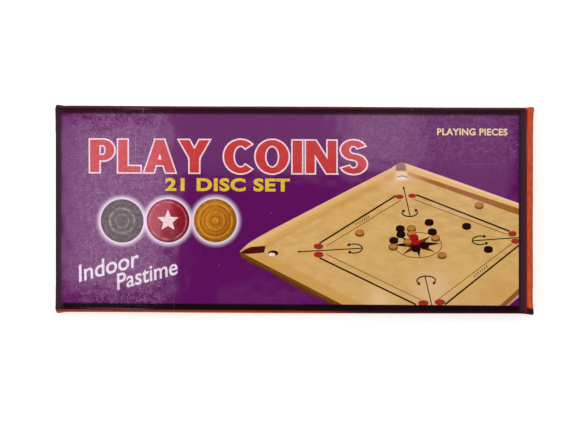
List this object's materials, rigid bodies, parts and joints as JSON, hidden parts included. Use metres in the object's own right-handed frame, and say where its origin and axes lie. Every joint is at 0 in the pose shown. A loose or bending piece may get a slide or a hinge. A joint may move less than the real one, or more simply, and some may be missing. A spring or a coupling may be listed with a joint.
{
  "type": "boxed set of carrom men",
  "caption": "Shallow two-piece carton with a lift-off printed lid, holding one layer of turned wooden carrom discs in a grid",
  "frame": {"origin": "centre of the carton's footprint, on the surface that the tray lies on", "axes": "+X along the carton's length towards the printed face's right end, +Y towards the top of the printed face, +Z out of the printed face, the way the lid lifts"},
  "size_m": [0.2414, 0.1028, 0.0126],
  "materials": {
    "greyboard": "matte",
    "corner_tape": "matte",
    "orange_paper": "satin",
    "printed_paper": "gloss",
    "liner_paper": "matte",
    "black_disc": "satin lacquer",
    "natural_disc": "satin lacquer",
    "red_disc": "gloss lacquer"
  },
  "bodies": {
    "tray": {"tray_board": "greyboard", "tray_paper_band": "orange_paper", "tray_liner_sheet": "liner_paper", "tray_corner_stay_front_left": "corner_tape", "tray_corner_stay_front_right": "corner_tape", "tray_corner_stay_rear_left": "corner_tape", "tray_corner_stay_rear_right": "corner_tape", "coin_black_1": "black_disc", "coin_black_2": "black_disc", "coin_black_3": "black_disc", "coin_black_4": "black_disc", "coin_black_5": "black_disc", "coin_black_6": "black_disc", "coin_black_7": "black_disc", "coin_black_8": "black_disc", "coin_black_9": "black_disc", "coin_black_10": "black_disc", "coin_red_queen": "red_disc", "coin_natural_1": "natural_disc", "coin_natural_2": "natural_disc", "coin_natural_3": "natural_disc", "coin_natural_4": "natural_disc", "coin_natural_5": "natural_disc", "coin_natural_6": "natural_disc", "coin_natural_7": "natural_disc", "coin_natural_8": "natural_disc", "coin_natural_9": "natural_disc", "coin_natural_10": "natural_disc"},
    "lid": {"lid_board": "greyboard", "lid_printed_wrap": "printed_paper", "lid_corner_stay_front_left": "corner_tape", "lid_corner_stay_front_right": "corner_tape", "lid_corner_stay_rear_left": "corner_tape", "lid_corner_stay_rear_right": "corner_tape"}
  },
  "joints": [
    {"name": "lid_lift", "type": "slide", "parent": "tray", "child": "lid", "axis": [0, 0, 1], "range_m": [0, 0.04]}
  ]
}
